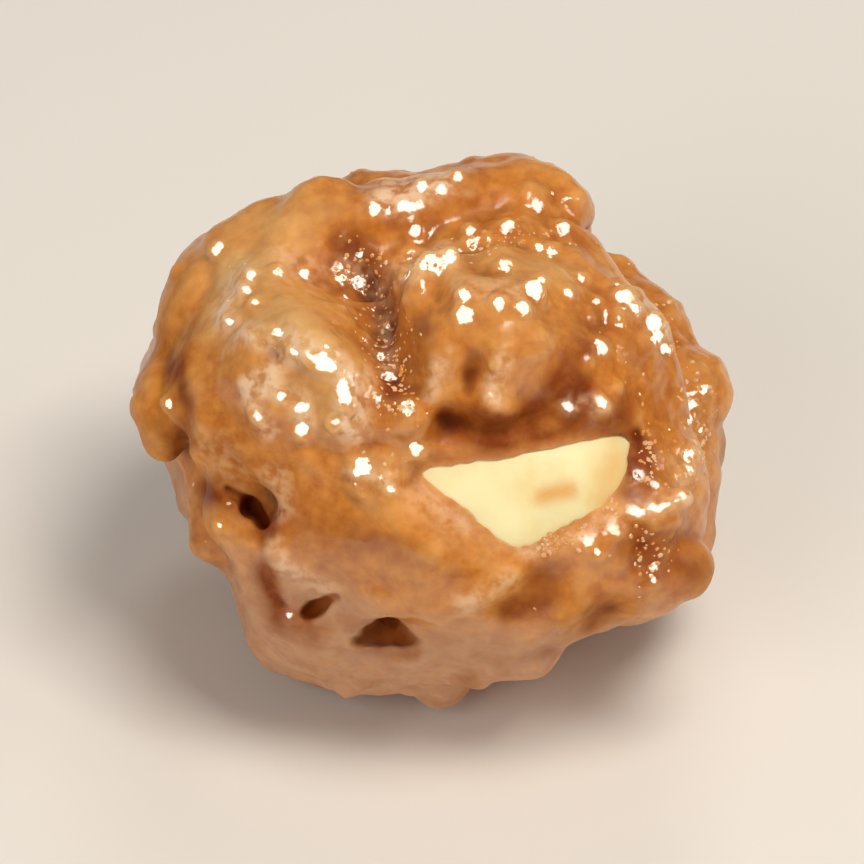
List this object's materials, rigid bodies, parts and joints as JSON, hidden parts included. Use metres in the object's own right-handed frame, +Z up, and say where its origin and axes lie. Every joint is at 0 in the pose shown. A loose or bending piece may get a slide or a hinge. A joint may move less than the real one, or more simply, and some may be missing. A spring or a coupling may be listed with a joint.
{
  "type": "candy-coated peanut",
  "caption": "Candy-coated peanut: a roasted kernel in a thick, lumpy, glossy coat of cooked sugar, with one bare spot on the front where the kernel shows.",
  "frame": {"origin": "middle of the base, on the flat spot that the sweet rests on", "axes": "+Z up, +X along the long side, and -Y towards the front, where the bare spot is"},
  "size_m": [0.0196, 0.0172, 0.0164],
  "materials": {
    "candy_coat": "glossy cooked sugar, amber with darker creases",
    "kernel": "satin roasted nut, cream"
  },
  "bodies": {
    "root": {"candy_coat": "candy_coat", "kernel": "kernel"}
  },
  "joints": []
}
